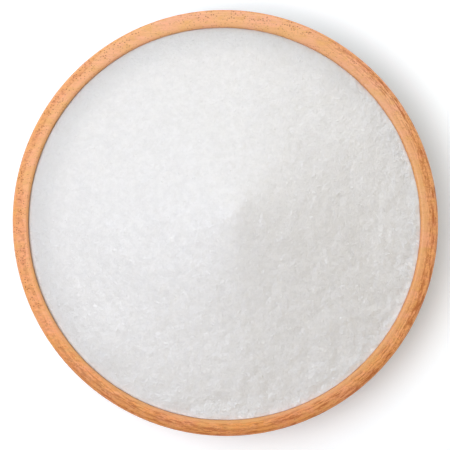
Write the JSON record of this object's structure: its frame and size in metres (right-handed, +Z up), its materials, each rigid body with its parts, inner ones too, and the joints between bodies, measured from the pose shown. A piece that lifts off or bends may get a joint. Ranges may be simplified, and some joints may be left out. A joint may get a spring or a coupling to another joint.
{
  "type": "bowl of fructose",
  "caption": "Small round turned wooden bowl with a rounded lip, filled and heaped to a low cone with fine white crystalline fructose.",
  "frame": {"origin": "centre of the bowl's base, on the surface it stands on", "axes": "+Z up along the bowl's axis; seen from above as in the picture, +X is to the right and +Y to the top of the picture"},
  "size_m": [0.12, 0.12, 0.0612],
  "materials": {
    "wood": "fine-grained orange-tan hardwood, sanded and lightly oiled",
    "fructose": "loose dry white crystals under a millimetre long, with small glints"
  },
  "bodies": {
    "root": {"bowl": "wood", "fructose": "fructose"}
  },
  "joints": []
}
